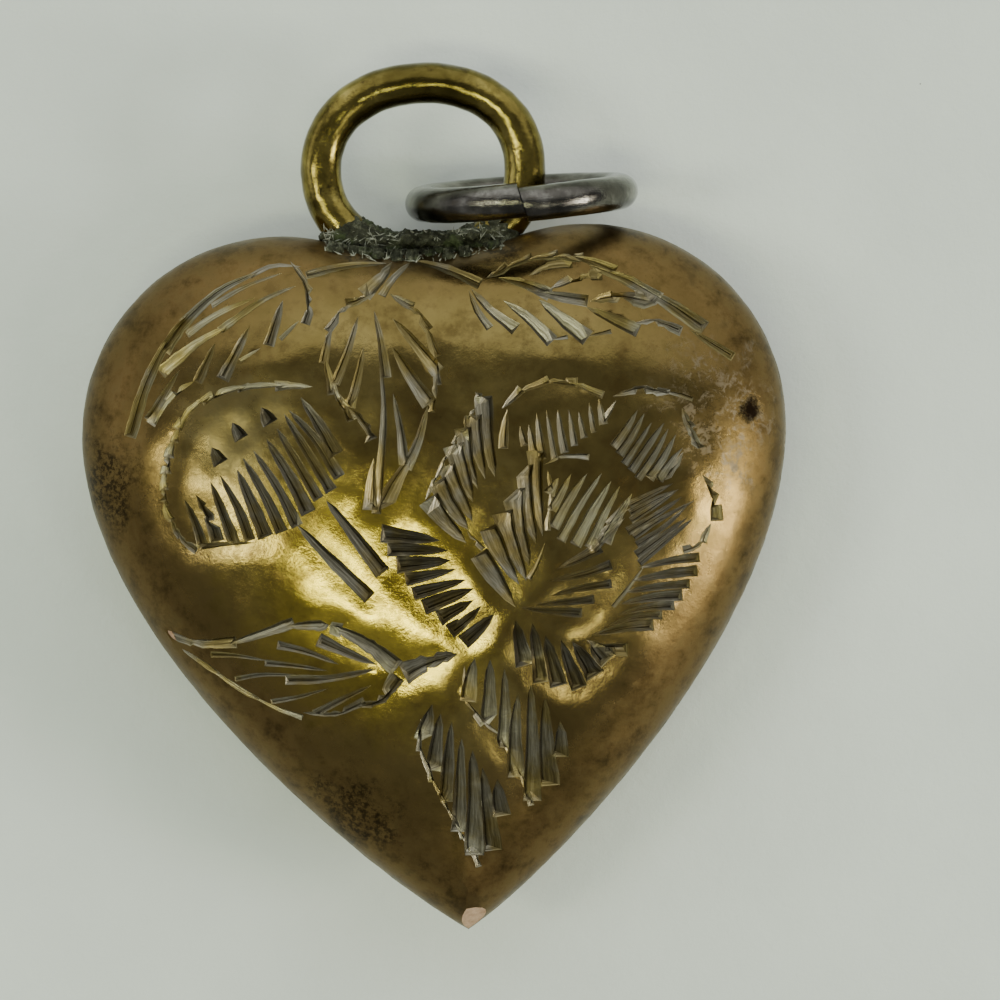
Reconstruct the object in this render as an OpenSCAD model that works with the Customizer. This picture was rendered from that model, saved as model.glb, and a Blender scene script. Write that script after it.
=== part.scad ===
// Puffed heart pendant: two pressed brass shells soldered rim to rim, an oval wire bail
// soldered into the hollow between the lobes, and a loose split jump ring on the bail.
// The heart lies on its back, engraved face up (+Z), with the bail towards +Y.
// The origin is under the middle of the pendant's box, on the surface it lies on.

/* [Heart] */
// Width across the two lobes
heart_w = 18; // [17:0.1:20]
// Height from the tip to the top of the lobes
heart_h = 17.9; // [16.5:0.1:20]
// Thickness through both shells and the seam
heart_t = 6.4; // [5.6:0.1:7.4]
// Radius of each lobe
lobe_r = 5.1; // [4.8:0.1:5.4]
// Radius of the shallow hollow between the lobes
cleft_r = 9; // [7:0.5:12]
// How far the tip leans off the middle line
tip_lean = 0.35; // [-0.5:0.05:0.5]
// Angle of each flank to the middle line at the tip, in degrees
tip_angle = 60; // [50:1:62]

/* [Shells] */
// Thickness of the pressed sheet
wall = 0.35; // [0.25:0.05:0.5]
// Height of the solder seam between the two rims
seam_h = 0.2; // [0.1:0.05:0.3]
// Squareness of the dome: 2 is an ellipse, more is flatter on top
dome_power = 2.5; // [2:0.1:3]

/* [Bail] */
// Diameter of the bail's wire
bail_wire = 1.07; // [0.9:0.01:1.2]
// Width of the oval bail, over the wire
bail_w = 6.3; // [6:0.1:7]
// Height of the oval bail, over the wire
bail_h = 5.5; // [5.2:0.1:6]
// Depth that the bail's foot is sunk below the rim of the hollow
bail_sink = 0.62; // [0.5:0.01:0.7]
// Thickness of the solder round the bail's foot
solder_t = 0.14; // [0.1:0.01:0.16]

/* [Jump ring] */
// Outside diameter of the jump ring
ring_od = 6; // [5.5:0.1:6.2]
// Diameter of the jump ring's wire
ring_wire = 0.9; // [0.7:0.05:0.95]
// Width of the cut where the ring opens, in degrees
ring_cut = 2; // [1:0.5:6]
// Lean of the standing ring towards the heart, in degrees
ring_lean = 6; // [0:1:8]

/* [Hidden] */

$fn = 64;

// The heart is drawn from the line through its lobe centres, then moved to the origin.
rim_z = heart_t / 2;
lobe_x = heart_w / 2 - lobe_r;
tip_y = lobe_r - heart_h;
cleft_centre_y = sqrt(pow(lobe_r + cleft_r, 2) - pow(lobe_x, 2));
cleft_y = cleft_centre_y - cleft_r;
// How far the crown of each dome lies above the middle of the heart's height, towards the lobes
crown_rise = 2.4;
crown_y = (cleft_y + tip_y) / 2 + crown_rise;
bail_y = cleft_y - bail_sink + bail_h / 2;
origin_y = -(bail_y + bail_h / 2 + tip_y) / 2;

// Lengths of the flank curve's two handles, below the lobe and above the tip
flank_start = 5.5;
flank_end = 2;
// Steps along the hollow, one lobe and one flank
cleft_steps = 4;
lobe_steps = 14;
flank_steps = 16;
// Direction from a lobe's centre to where it meets the hollow
meet_angle = 90 + asin(lobe_x / (lobe_r + cleft_r));

// Clearance between the filed foot of the bail and the rims
seat_gap = 0.03;
// Clearance between the solder and the wire it holds
solder_gap = 0.01;
// Reach of the solder along the foot, to the left and to the right
solder_left = 2.2;
solder_right = 1.8;

// The jump ring's place on the bail, seen from above: distance and direction from the bail's middle
ring_reach = 2.62;
ring_angle = -18;
// Height of the ring's middle below the bail's
ring_drop = 0.15;
// Turn of the standing ring about the vertical
ring_yaw = 1.3;

// Rings of points from the crown of a dome to its rim
dome_rings = 9;
// Radius of the round shape that the heart's outline melts into towards the crown
core_r = 7.5;

function bezier(a, b, c, d, t) =
    pow(1 - t, 3) * a + 3 * pow(1 - t, 2) * t * b + 3 * (1 - t) * t * t * c + t * t * t * d;

// Half of the outline, from the middle of the hollow to just short of the tip
function half_outline(side) = concat(
    [for (i = [0 : cleft_steps - 1])
        let (a = (meet_angle - 90) * i / cleft_steps)
        [side * cleft_r * sin(a), cleft_centre_y - cleft_r * cos(a)]],
    [for (i = [0 : lobe_steps - 1])
        let (a = meet_angle * (1 - i / lobe_steps))
        [side * (lobe_x + lobe_r * cos(a)), lobe_r * sin(a)]],
    [for (i = [0 : flank_steps - 1])
        bezier([side * heart_w / 2, 0],
               [side * heart_w / 2, -flank_start],
               [tip_lean + side * flank_end * sin(tip_angle), tip_y + flank_end * cos(tip_angle)],
               [tip_lean, tip_y],
               i / flank_steps)]);

right_half = half_outline(1);
left_half = half_outline(-1);
half_n = len(right_half);

// The whole outline, counter-clockwise from the middle of the hollow down the left side
outline = concat(left_half, [[tip_lean, tip_y]], [for (i = [half_n - 1 : -1 : 1]) right_half[i]]);
n = len(outline);
crown = [0, crown_y];

// One closed loop of the dome: s is 0 at the crown and 1 at the rim
function loop(s, inset) = [for (p = outline)
    let (ray = p - crown, reach = norm(ray))
    crown + ray / reach * s * (s * s * (reach - inset) + (1 - s * s) * core_r)];

function dome_height(k) = k == 1 ? 1 : sqrt(1 - pow(sin(90 * k / dome_rings), dome_power));

function dome_loop(k, inset) = [for (p = loop(sin(90 * k / dome_rings), inset))
    [p[0], p[1], seam_h / 2 + (rim_z - seam_h / 2 - inset) * dome_height(k)]];

// A pressed half shell, open side down: outer loops from the crown to the rim, then the
// inner loops back up to the crown, closed by a small flat at each end
module half_shell() {
    loops = concat([for (k = [1 : dome_rings]) dome_loop(k, 0)],
                   [for (k = [dome_rings : -1 : 1]) dome_loop(k, wall)]);
    last = len(loops) - 1;
    polyhedron(
        points = [for (l = loops) each l],
        faces = concat(
            [[for (i = [n - 1 : -1 : 0]) i]],
            [[for (i = [0 : n - 1]) last * n + i]],
            [for (k = [0 : last - 1], i = [0 : n - 1])
                [k * n + i, k * n + (i + 1) % n, (k + 1) * n + (i + 1) % n]],
            [for (k = [0 : last - 1], i = [0 : n - 1])
                [k * n + i, (k + 1) * n + (i + 1) % n, (k + 1) * n + i]]));
}

module front_shell() {
    color("#a88a2e")
        translate([0, origin_y, rim_z])
            half_shell();
}

module back_shell() {
    color("#8f742c")
        translate([0, origin_y, rim_z])
            mirror([0, 0, 1])
                half_shell();
}

// The line of solder that joins the two rims
module rim_seam() {
    color("#8d8a80")
        translate([0, origin_y, rim_z - seam_h / 2])
            linear_extrude(seam_h)
                difference() {
                    polygon(outline);
                    polygon(loop(1, wall));
                }
}

// A closed oval of round wire, flat in XY, with its middle at the origin
module oval_wire(r) {
    bend_r = (bail_h - bail_wire) / 2;
    run = bail_w - bail_h;
    for (side = [-1, 1]) {
        translate([side * run / 2, 0, 0])
            rotate([0, 0, -90 * side])
                rotate_extrude(angle = 180)
                    translate([bend_r, 0])
                        circle(r);
        translate([-run / 2, side * bend_r, 0])
            rotate([0, 90, 0])
                cylinder(r = r, h = run);
    }
}

// The space above the hollow between the lobes, which the bail's foot is filed to fit
module above_hollow(gap) {
    translate([0, cleft_centre_y, -heart_t / 2])
        cylinder(r = cleft_r - gap, h = heart_t, $fn = 180);
}

module bail_ring() {
    color("#9c8434")
        translate([0, origin_y, rim_z])
            intersection() {
                translate([0, bail_y, 0])
                    oval_wire(bail_wire / 2);
                above_hollow(seat_gap);
            }
}

// Solder wrapped round the foot of the bail
module bail_solder() {
    top_y = cleft_y + bail_wire;
    color("#4f5248")
        translate([0, origin_y, rim_z])
            difference() {
                intersection() {
                    translate([0, bail_y, 0])
                        oval_wire(bail_wire / 2 + solder_t);
                    above_hollow(seat_gap);
                    translate([-solder_left, 0, -heart_t / 2])
                        cube([solder_left + solder_right, top_y, heart_t]);
                }
                translate([0, bail_y, 0])
                    oval_wire(bail_wire / 2 + solder_gap);
            }
}

// The loose ring stands on the surface with its cut at the top
module jump_ring() {
    color("#b9bcc0")
        translate([ring_reach * cos(ring_angle),
                   origin_y + bail_y + ring_reach * sin(ring_angle),
                   rim_z - ring_drop])
            rotate([0, 0, ring_yaw])
                rotate([90 + ring_lean, 0, 0])
                    rotate([0, 0, 90 + ring_cut / 2])
                        rotate_extrude(angle = 360 - ring_cut)
                            translate([(ring_od - ring_wire) / 2, 0])
                                circle(ring_wire / 2);
}

back_shell();
rim_seam();
front_shell();
bail_ring();
bail_solder();
jump_ring();
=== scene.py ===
"""The looks of a puffed heart pendant: an engraved brass heart, its soldered bail and its loose jump ring."""

import math
import random

import bmesh
import bpy
import numpy as np
from mathutils import Matrix, Vector, noise
from mathutils.geometry import delaunay_2d_cdt


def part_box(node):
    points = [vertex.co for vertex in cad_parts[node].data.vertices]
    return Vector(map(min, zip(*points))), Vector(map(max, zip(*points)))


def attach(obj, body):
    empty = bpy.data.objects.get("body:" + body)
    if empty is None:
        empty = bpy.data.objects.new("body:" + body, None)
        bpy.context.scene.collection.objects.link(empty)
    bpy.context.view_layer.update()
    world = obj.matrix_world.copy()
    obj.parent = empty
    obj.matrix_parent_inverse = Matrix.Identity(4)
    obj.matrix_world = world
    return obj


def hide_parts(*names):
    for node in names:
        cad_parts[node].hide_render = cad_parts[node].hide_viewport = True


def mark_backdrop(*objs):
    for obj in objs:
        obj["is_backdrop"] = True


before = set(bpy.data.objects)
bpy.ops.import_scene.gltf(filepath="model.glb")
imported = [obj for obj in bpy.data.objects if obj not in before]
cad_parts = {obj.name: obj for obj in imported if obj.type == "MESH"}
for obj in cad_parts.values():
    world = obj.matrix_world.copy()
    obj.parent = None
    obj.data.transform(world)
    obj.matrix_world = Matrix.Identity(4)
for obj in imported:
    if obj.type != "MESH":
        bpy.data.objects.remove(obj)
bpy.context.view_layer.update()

MM = 0.001
rng = random.Random(5)


def node_box(node):
    """Lowest and highest corner of a CAD node, in millimetres."""
    return [np.array(corner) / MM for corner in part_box(node)]


# ------------ the heart's outline and dome, in mm

front_low, front_high = node_box("front_shell")
seam_low, seam_high = node_box("rim_seam")

HEART_W = front_high[0] - front_low[0]
TIP_Y = front_low[1]
SEAM_BOTTOM, SEAM_TOP = seam_low[2], seam_high[2]
DOME_H = front_high[2] - SEAM_TOP
RIM_Z = (SEAM_BOTTOM + SEAM_TOP) / 2

LOBE_R = 5.1
LOBE_X = HEART_W / 2 - LOBE_R
LOBE_Y = front_high[1] - LOBE_R
CLEFT_R = 9
CLEFT_CENTRE_Y = LOBE_Y + math.sqrt((LOBE_R + CLEFT_R) ** 2 - LOBE_X ** 2)
CLEFT_Y = CLEFT_CENTRE_Y - CLEFT_R
TIP_LEAN = 0.35
TIP_ANGLE = math.radians(60)
FLANK_START, FLANK_END = 5.5, 2
WALL = 0.35
# How far the crown lies above the middle of the heart's height, towards the lobes
CROWN_RISE = 2.4
CROWN = np.array([0, (CLEFT_Y + TIP_Y) / 2 + CROWN_RISE])
CORE_R = 7.5
DOME_POWER = 2.5

RIM_POINTS = 300
# How far out the engraved face reaches before the plain rings that turn down to the rim
FACE_EDGE = 0.955
# Distance between the engraved face's points away from the cuts
GRID = 0.15


def half_outline(side, steps=160):
    """Half of the heart's outline, from the middle of the hollow to the tip."""
    meet = math.pi / 2 + math.asin(LOBE_X / (LOBE_R + CLEFT_R))
    hollow = [(side * CLEFT_R * math.sin(a), CLEFT_CENTRE_Y - CLEFT_R * math.cos(a))
              for a in np.linspace(0, meet - math.pi / 2, steps // 8, endpoint=False)]
    lobe = [(side * (LOBE_X + LOBE_R * math.cos(a)), LOBE_Y + LOBE_R * math.sin(a))
            for a in np.linspace(meet, 0, steps, endpoint=False)]
    handles = np.array([(side * HEART_W / 2, LOBE_Y),
                        (side * HEART_W / 2, LOBE_Y - FLANK_START),
                        (TIP_LEAN + side * FLANK_END * math.sin(TIP_ANGLE),
                         TIP_Y + FLANK_END * math.cos(TIP_ANGLE)),
                        (TIP_LEAN, TIP_Y)])
    t = np.linspace(0, 1, steps)[:, None]
    flank = ((1 - t) ** 3 * handles[0] + 3 * (1 - t) ** 2 * t * handles[1]
             + 3 * (1 - t) * t * t * handles[2] + t ** 3 * handles[3])
    return np.vstack([hollow, lobe, flank])


def polar_outline():
    """Directions round the crown, in rising order, and the outline's reach in each."""
    rays = np.vstack([half_outline(1), half_outline(-1)]) - CROWN
    direction = np.arctan2(rays[:, 1], rays[:, 0])
    order = np.argsort(direction)
    return direction[order], np.hypot(rays[:, 0], rays[:, 1])[order]


OUTLINE = polar_outline()


def reach(direction):
    return np.interp(direction, *OUTLINE, period=2 * math.pi)


def loop(s, inset=0):
    """Points round the dome, counter-clockwise from the tip: s is 0 at the crown and 1 at the rim."""
    tip = math.atan2(TIP_Y - CROWN[1], TIP_LEAN)
    direction = tip + np.arange(RIM_POINTS) * 2 * math.pi / RIM_POINTS
    distance = s * (s * s * (reach(direction) - inset) + (1 - s * s) * CORE_R)
    return CROWN + distance[:, None] * np.column_stack([np.cos(direction), np.sin(direction)])


def rim_share(xy):
    """How far out each point lies on the dome, from 0 at the crown to 1 at the rim, by Newton's method."""
    ray = xy - CROWN
    distance = np.hypot(ray[:, 0], ray[:, 1])
    spread = reach(np.arctan2(ray[:, 1], ray[:, 0])) - CORE_R
    s = np.clip(distance / CORE_R, 0, 1)
    for _ in range(12):
        s = np.clip(s - (CORE_R * s + spread * s ** 3 - distance) / (CORE_R + 3 * spread * s * s), 0, 1)
    return s


def dome_height(s, height=DOME_H):
    return height * np.sqrt(np.maximum(0, 1 - s ** DOME_POWER))


def smoothstep(low, high, x):
    t = np.clip((x - low) / (high - low), 0, 1)
    return t * t * (3 - 2 * t)


# Height and length of the waves in hand-finished sheet, in mm, and in wire, as shares of the most
SHEET_WAVES = [(0.035, 3.4), (0.013, 1.2), (0.005, 0.5)]
WIRE_WAVES = [(0.7, 0.7), (0.5, 0.28)]


def dents(points, waves, seed=0):
    """Uneven heights at 3-D points, summed from waves of each height and length."""
    shift = Vector((seed * 7.3, seed * 3.1, 0))
    return np.array([sum(height * noise.noise(Vector(p) / length + shift) for height, length in waves)
                     for p in points])


# ------------ the graver's cuts, in mm

# The deepest that a cut goes into the sheet
MAX_DEPTH = 0.13
# Depth of a cut as a share of half its width, up to that depth
STEEPNESS = 0.65
cuts = []


def curve(points, count):
    """count even steps along a smooth line through the points."""
    p = np.array(points, float)
    padded = np.vstack([2 * p[0] - p[1], p, 2 * p[-1] - p[-2]])
    t = np.linspace(0, 1, 16, endpoint=False)[:, None]
    dense = [b + t * ((c - a) / 2 + t * ((2 * a - 5 * b + 4 * c - d) / 2 + t * (3 * b - a - 3 * c + d) / 2))
             for a, b, c, d in zip(padded, padded[1:], padded[2:], padded[3:])]
    dense = np.vstack(dense + [p[-1:]])
    along = np.concatenate([[0], np.cumsum(np.hypot(*np.diff(dense, axis=0).T))])
    steps = np.linspace(0, along[-1], count + 1)
    return np.column_stack([np.interp(steps, along, dense[:, k]) for k in (0, 1)])


def cut(points, width, lean=0.7, soot=0.25):
    """One push of the graver: a V groove from a fine start to a blunt end of that width.
    lean moves its floor to the left of the push, or to the right if it is negative.
    soot is how dark its faces have gone, from 0 to 1."""
    length = float(np.sum(np.hypot(*np.diff(np.array(points, float), axis=0).T)))
    count = max(3, round(length / 0.3))
    middle = curve(points, count)
    heading = np.gradient(middle, axis=0)
    heading /= np.hypot(*heading.T)[:, None]
    left = np.column_stack([-heading[:, 1], heading[:, 0]])
    t = np.linspace(0, 1, count + 1)
    half = width / 2 * t ** 0.45 * np.array([1] + [rng.uniform(0.9, 1.1) for _ in range(count)])
    floor = np.minimum(STEEPNESS * half, MAX_DEPTH)
    back = min(0.9 * floor[-1], 0.3 * length)
    cuts.append({"middle": middle, "left": left, "half": half, "floor": floor, "lean": lean,
                 "soot": soot, "back": back, "end": middle[-1] - heading[-1] * back})


def jitter(amount):
    return rng.uniform(-amount, amount)


def fan(starts, ends, count, width, lean=0.5, soot=0.25, bow=0.0, loose=0.06):
    """A row of cuts from one line to another, a little uneven."""
    for (x0, y0), (x1, y1) in zip(curve(starts, count - 1), curve(ends, count - 1)):
        dx, dy = x1 - x0, y1 - y0
        slip = jitter(loose)
        middle = (x0 + dx / 2 - dy * (bow + jitter(0.02)), y0 + dy / 2 + dx * (bow + jitter(0.02)))
        cut([(x0 + dx * jitter(0.12), y0 + dy * jitter(0.12)), middle,
             (x1 + dx * slip, y1 + dy * slip)], width * rng.uniform(0.8, 1.1), lean, soot)


def chain(points, pieces, width, lean=0.5, kick=0.05, soot=0.1):
    """A line of short cuts end to end, each ending blunt and a little to the left of the next one's start."""
    steps = 4
    line = curve(points, pieces * steps)
    for piece in range(pieces):
        part = line[max(0, piece * steps - 1):piece * steps + steps + 1].copy()
        heading = part[-1] - part[-2]
        part[-1] += kick * np.array([-heading[1], heading[0]]) / max(1e-6, float(np.hypot(*heading)))
        cut(part, width * rng.uniform(0.85, 1.15), lean, soot)


def upper_left_leaf():
    cut([(-1.0, 5.96), (-2.0, 5.93), (-3.05, 5.72)], 0.23, -0.4)
    cut([(-3.15, 5.95), (-3.9, 6.0), (-4.5, 5.75)], 0.14)
    cut([(-4.3, 5.85), (-5.3, 5.4), (-6.2, 4.65), (-6.75, 3.95)], 0.35, -0.6)
    cut([(-5.6, 5.2), (-6.5, 4.4), (-7.2, 3.2), (-7.7, 1.8)], 0.35, -0.5)
    cut([(-3.45, 6.1), (-3.05, 5.55), (-2.95, 4.95), (-3.1, 4.45)], 0.26, -0.5)
    cut([(-3.65, 5.8), (-4.6, 5.5), (-5.5, 5.05)], 0.15)
    cut([(-4.35, 5.2), (-5.3, 4.85), (-6.15, 4.35)], 0.21)
    cut([(-3.3, 5.45), (-4.2, 5.1), (-5.3, 4.4)], 0.21)
    cut([(-5.1, 4.5), (-5.9, 4.1), (-6.85, 3.4)], 0.35)
    for start, end, width in [((-3.65, 5.1), (-4.05, 3.95), 0.31), ((-4.5, 4.5), (-5.25, 3.15), 0.33),
                              ((-5.4, 4.1), (-5.9, 3.1), 0.28), ((-6.35, 3.45), (-7.2, 2.2), 0.26)]:
        cut([start, end], width, -0.5)
    cut([(-3.25, 4.55), (-3.75, 4.1)], 0.14)
    cut([(-4.25, 3.9), (-4.8, 3.6)], 0.12)
    cut([(-5.95, 3.15), (-6.6, 2.8), (-7.15, 2.1)], 0.26)


def centre_leaf():
    cut([(-0.87, 5.99), (-1.15, 5.6), (-1.6, 5.15)], 0.43, 0.4)
    cut([(-0.38, 5.98), (-0.9, 5.5), (-1.15, 5.1)], 0.24)
    chain([(-1.3, 5.2), (-2.15, 4.75), (-2.6, 3.8), (-2.45, 2.8), (-1.95, 2.0)], 5, 0.24, -0.5, -0.07)
    cut([(-2.1, 2.3), (-1.75, 1.9), (-1.55, 1.45)], 0.36, 0.4)
    cut([(-1.35, 4.7), (-1.2, 3.9), (-1.1, 3.0)], 0.26, -0.4)
    cut([(-1.25, 3.4), (-1.2, 2.2), (-1.35, 0.7), (-1.5, -0.4)], 0.24, 0.6)
    cut([(-1.75, 4.6), (-2.05, 3.7), (-2.4, 2.9)], 0.26, -0.5)
    cut([(-1.65, 3.8), (-1.8, 3.1), (-2.05, 2.3)], 0.28, -0.5)
    cut([(-1.5, 1.0), (-1.6, 0.3), (-1.65, -0.3)], 0.36, 0.4)
    cut([(-0.9, 4.5), (-0.4, 3.9), (0.2, 3.1)], 0.36, 0.5)
    cut([(-0.95, 3.8), (-0.5, 3.0), (-0.05, 2.3)], 0.38, 0.5)
    cut([(-0.95, 2.6), (-0.8, 1.6), (-0.75, 0.8)], 0.26, 0.4)
    chain([(-0.95, 5.15), (-0.3, 4.65), (0.05, 3.9), (0.15, 3.0), (-0.05, 2.1)], 5, 0.24, 0.5, 0.05)
    cut([(-0.1, 2.25), (-0.35, 1.4), (-0.7, 0.7)], 0.31, -0.5)
    cut([(-0.55, 1.0), (-0.95, 0.4), (-1.35, -0.3)], 0.5, -0.4)


def upper_right_leaf():
    cut([(-0.3, 6.0), (0.5, 5.75), (1.35, 5.3)], 0.32, 0.4)
    chain([(1.5, 5.45), (2.4, 5.85), (3.2, 5.95), (4.0, 5.85)], 4, 0.26, 0.5, 0.05)
    cut([(3.7, 5.95), (4.3, 5.75), (4.8, 5.5)], 0.3, 0.5)
    cut([(4.1, 5.7), (5.1, 5.25), (5.9, 4.75)], 0.36, 0.5)
    cut([(5.3, 5.15), (6.2, 4.55), (7.0, 3.95)], 0.44, 0.5)
    cut([(1.8, 5.45), (2.5, 5.25), (3.1, 4.95)], 0.33, 0.5)
    cut([(2.5, 5.1), (3.3, 4.9), (4.05, 4.75)], 0.32, 0.5)
    cut([(2.55, 5.45), (3.1, 5.7), (3.7, 5.75)], 0.27, -0.4)
    cut([(3.1, 5.1), (3.8, 5.4), (4.45, 5.45)], 0.36, -0.5)
    cut([(4.1, 4.75), (4.9, 4.85), (5.8, 4.65)], 0.51, 0.3)
    cut([(1.1, 5.2), (1.6, 4.6), (2.2, 4.1)], 0.32, -0.4)
    cut([(1.9, 4.85), (2.5, 4.4), (3.1, 3.75)], 0.36, -0.5)
    cut([(2.8, 4.85), (3.4, 4.3), (4.0, 3.8)], 0.44, -0.5)
    cut([(4.0, 4.6), (4.6, 4.3), (5.3, 3.95)], 0.38, -0.4)
    cut([(1.05, 5.15), (1.25, 4.6), (1.55, 4.15)], 0.23, -0.5)
    cut([(3.1, 3.8), (3.5, 3.85)], 0.11)
    cut([(4.0, 3.85), (4.6, 3.95)], 0.12)
    cut([(5.2, 4.15), (5.8, 4.15), (6.4, 3.9)], 0.27, 0.4)
    cut([(6.6, 3.95), (7.1, 3.6), (7.7, 3.2)], 0.26, 0.4)


def round_bud():
    chain([(-2.95, 2.85), (-4.0, 2.95), (-5.0, 2.9), (-5.9, 2.6), (-6.5, 1.95)], 4, 0.24, 0.5, 0.03)
    chain([(-6.4, 2.0), (-6.75, 1.2), (-6.9, 0.2), (-6.75, -0.4)], 6, 0.26, 0.4, 0.03)
    chain([(-6.75, -0.3), (-6.5, -0.8), (-6.1, -1.15)], 2, 0.26, -0.4, 0.02)
    fan([(-3.3, 2.6), (-3.8, 2.0), (-4.25, 1.35), (-5.15, 0.75), (-5.8, 0.4), (-6.3, 0.1)],
        [(-2.4, 1.05), (-2.45, 0.6), (-3.0, -0.2), (-4.05, -0.85), (-4.9, -1.0), (-5.95, -1.0)],
        12, 0.38, -0.4, 0.6, 0.03)
    cut([(-4.6, -1.0), (-5.3, -1.0), (-6.0, -1.05)], 0.16)
    for x, y in [(-5.45, 1.15), (-4.9, 1.75), (-4.15, 2.1)]:
        cut([(x - 0.14, y + 0.3), (x + 0.08, y - 0.12)], 0.42, 0.3, 0.7)
    cut([(-2.75, 0.0), (-2.1, -0.9), (-1.4, -1.9)], 0.42, 0.4, 0.6)
    cut([(-3.5, -0.6), (-2.7, -1.5), (-1.75, -2.5)], 0.4, 0.4, 0.6)


def lower_left_leaf():
    cut([(-7.2, -3.1), (-6.3, -3.5), (-5.2, -3.5)], 0.33, 0.5)
    cut([(-5.4, -3.55), (-4.5, -3.3), (-3.7, -3.05)], 0.3, 0.5)
    cut([(-3.9, -3.15), (-3.1, -3.15), (-2.5, -3.3)], 0.38, 0.4)
    cut([(-2.8, -3.15), (-1.9, -3.65), (-1.15, -4.3)], 0.45, 0.5)
    chain([(-6.7, -3.6), (-6.0, -4.1), (-5.1, -4.75), (-4.2, -5.25), (-3.6, -5.45)], 3, 0.16, 0.4, -0.03)
    cut([(-3.6, -5.35), (-2.8, -5.4), (-2.0, -5.1)], 0.22, -0.4)
    cut([(-2.2, -5.25), (-1.6, -5.05), (-1.15, -4.5)], 0.43, -0.4)
    for points, width in [([(-1.65, -4.2), (-2.4, -3.85), (-3.1, -3.5)], 0.34),
                          ([(-2.6, -4.15), (-3.4, -3.8), (-4.15, -3.6)], 0.22),
                          ([(-1.65, -4.3), (-2.9, -4.5), (-4.0, -4.5)], 0.26),
                          ([(-2.9, -4.3), (-3.7, -4.15), (-4.5, -4.05)], 0.16),
                          ([(-1.8, -4.7), (-2.7, -5.1), (-3.3, -5.4)], 0.22),
                          ([(-2.9, -4.75), (-3.7, -4.95), (-4.4, -5.05)], 0.14),
                          ([(-3.6, -4.4), (-4.6, -4.35), (-5.3, -4.45)], 0.14),
                          ([(-4.4, -4.0), (-5.2, -3.85), (-5.9, -3.8)], 0.14)]:
        cut(points, width, 0.4)
    cut([(0.4, -4.0), (-0.3, -4.15), (-1.0, -4.45)], 0.58, 0.3)


def flower():
    # left petal
    fan([(-0.05, -1.15), (0.5, -1.95), (1.3, -3.1)], [(-1.4, -0.9), (-0.8, -2.2), (0.5, -3.75)],
        9, 0.42, 0.35, 0.75, 0.0, 0.08)
    # upper left petal
    fan([(1.5, 0.5), (1.05, -0.1), (0.7, -1.3)], [(1.3, 2.45), (0.65, 1.45), (-0.2, -0.05)],
        7, 0.5, -0.7, 0.35, 0.02)
    chain([(-0.25, -0.1), (0.35, 1.0), (0.95, 1.95), (1.25, 2.5)], 5, 0.16, -0.4, 0.06)
    cut([(0.75, -0.9), (0.9, -1.15), (1.15, -1.4)], 0.14)
    # long strokes that meet at the centre
    fan([(2.65, -1.15), (2.35, -1.75), (1.95, -2.85)], [(2.55, 1.15), (1.75, -0.25), (1.0, -1.45)],
        6, 0.52, -0.75, 0.3, 0.03)
    cut([(2.7, -1.3), (2.5, -1.8), (2.25, -2.2)], 0.14)
    # top petal
    chain([(1.75, 2.1), (2.3, 2.55), (3.1, 2.75), (3.8, 2.6), (4.3, 2.3)], 4, 0.24, -0.4, 0.05)
    cut([(1.9, 2.1), (1.8, 1.6), (1.75, 1.1)], 0.28, 0.4)
    fan([(2.2, 1.6), (2.75, 2.0), (3.45, 1.95), (4.2, 2.2)],
        [(2.3, 1.15), (2.85, 0.7), (3.6, 1.1), (4.3, 1.6)],
        9, 0.22, 0.6, 0.3)
    cut([(2.75, 0.65), (3.3, 0.85), (3.9, 0.8)], 0.16)
    # top right petal
    cut([(4.55, 2.3), (5.3, 2.45), (6.0, 2.3)], 0.28, 0.4)
    cut([(5.7, 2.4), (6.2, 2.3), (6.6, 2.15)], 0.12)
    chain([(6.3, 1.95), (6.5, 1.4), (6.7, 0.85)], 2, 0.3, 0.4, 0.05)
    cut([(6.3, 0.85), (6.0, 0.4), (5.6, 0.1)], 0.3, 0.3)
    cut([(4.65, 2.2), (4.3, 1.7)], 0.16)
    fan([(5.25, 1.95), (5.8, 1.45), (6.3, 1.05)],
        [(4.5, 1.0), (4.95, 0.35), (5.65, 0.15)], 7, 0.25, -0.6, 0.5)
    # centre petal
    fan([(3.1, 0.35), (4.2, 0.45), (4.95, -0.1)],
        [(2.85, -0.1), (3.15, -1.35), (4.25, -1.35)], 7, 0.3, -0.75, 0.3)
    chain([(2.85, 0.5), (2.9, -0.1), (2.75, -1.0)], 3, 0.14, 0.4, 0.04)
    # right petal
    fan([(5.95, 0.0), (6.35, -0.3), (6.45, -0.9)],
        [(4.85, -0.45), (4.85, -1.1), (5.1, -1.9)], 8, 0.21, 0.4, 0.7)
    fan([(4.9, -0.3), (4.7, -0.8)], [(4.3, -0.9), (3.9, -1.55)], 4, 0.2, 0.5, 0.7)
    cut([(6.75, 0.25), (7.05, -0.2), (7.1, -0.95)], 0.34, -0.3)
    chain([(6.95, -1.0), (6.6, -1.55), (6.2, -1.6)], 2, 0.22, 0.4, 0.05)
    # lower right petal
    fan([(5.2, -2.05), (4.65, -2.85), (3.8, -3.7)], [(6.6, -1.85), (6.35, -2.6), (5.45, -3.5)],
        7, 0.29, -0.5, 0.55, 0.03)
    cut([(3.65, -3.8), (4.15, -4.05), (4.7, -4.1)], 0.36, 0.3)
    cut([(5.2, -2.0), (4.8, -2.5), (4.35, -3.0)], 0.12, -0.4)
    # strokes to the right of the centre
    fan([(1.95, -2.9), (2.5, -2.8), (2.85, -2.35), (3.05, -1.95)],
        [(3.5, -3.1), (4.2, -2.55), (4.45, -2.05), (4.05, -1.5)], 5, 0.26, -0.5, 0.65)
    # bottom petal
    fan([(1.9, -3.3), (2.3, -3.3), (3.05, -3.7), (3.7, -3.85)],
        [(2.1, -4.4), (2.75, -4.95), (3.6, -5.0), (4.2, -4.4)], 6, 0.5, -0.4, 0.85)


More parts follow.
